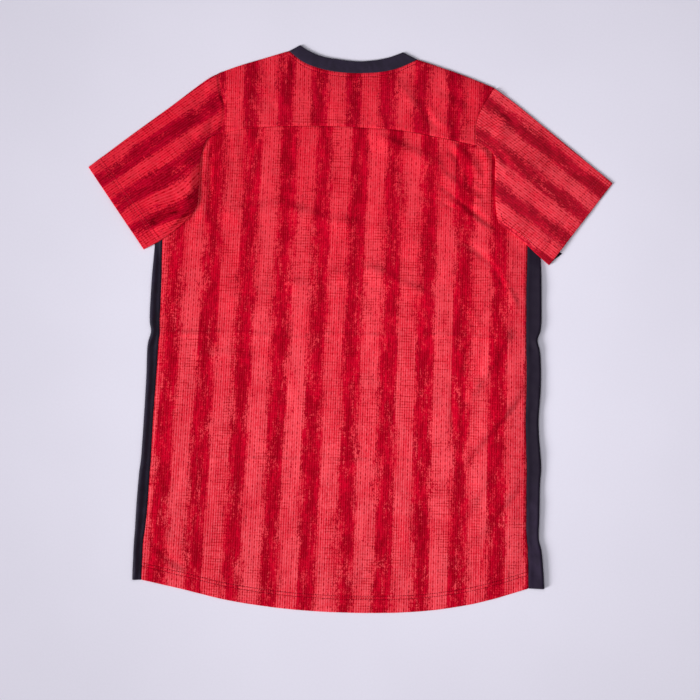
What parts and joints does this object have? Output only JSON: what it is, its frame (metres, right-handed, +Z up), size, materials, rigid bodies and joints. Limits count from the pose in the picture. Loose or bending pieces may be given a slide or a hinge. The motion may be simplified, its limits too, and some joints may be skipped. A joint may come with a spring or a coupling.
{
  "type": "tennis shirt laid flat",
  "caption": "Short-sleeved crew-neck tennis shirt laid flat with its back upwards: striped knit body and sleeves, plain dark side panels and neckband.",
  "frame": {"origin": "middle of the garment's outline, at the height of the surface it lies on", "axes": "+Z up from that surface, +Y up the garment towards its collar, +X to the right seen from above, which is the wearer's right side because the back is upwards"},
  "size_m": [0.7222, 0.78, 0.007],
  "materials": {
    "red_knit": "matt polyester mesh knit, coral red with dark red brushed stripes",
    "black_knit": "smooth black polyester knit with a slight sheen",
    "black_rib": "matt black fine rib",
    "thread": "dark red polyester thread"
  },
  "bodies": {
    "root": {"back_panel": "red_knit", "back_yoke": "red_knit", "front_panel": "red_knit", "sleeve_left": "red_knit", "sleeve_right": "red_knit", "neckband": "black_rib", "side_panel_left": "black_knit", "side_panel_right": "black_knit", "underarm_strip_left": "black_knit", "underarm_strip_right": "black_knit"}
  },
  "joints": []
}
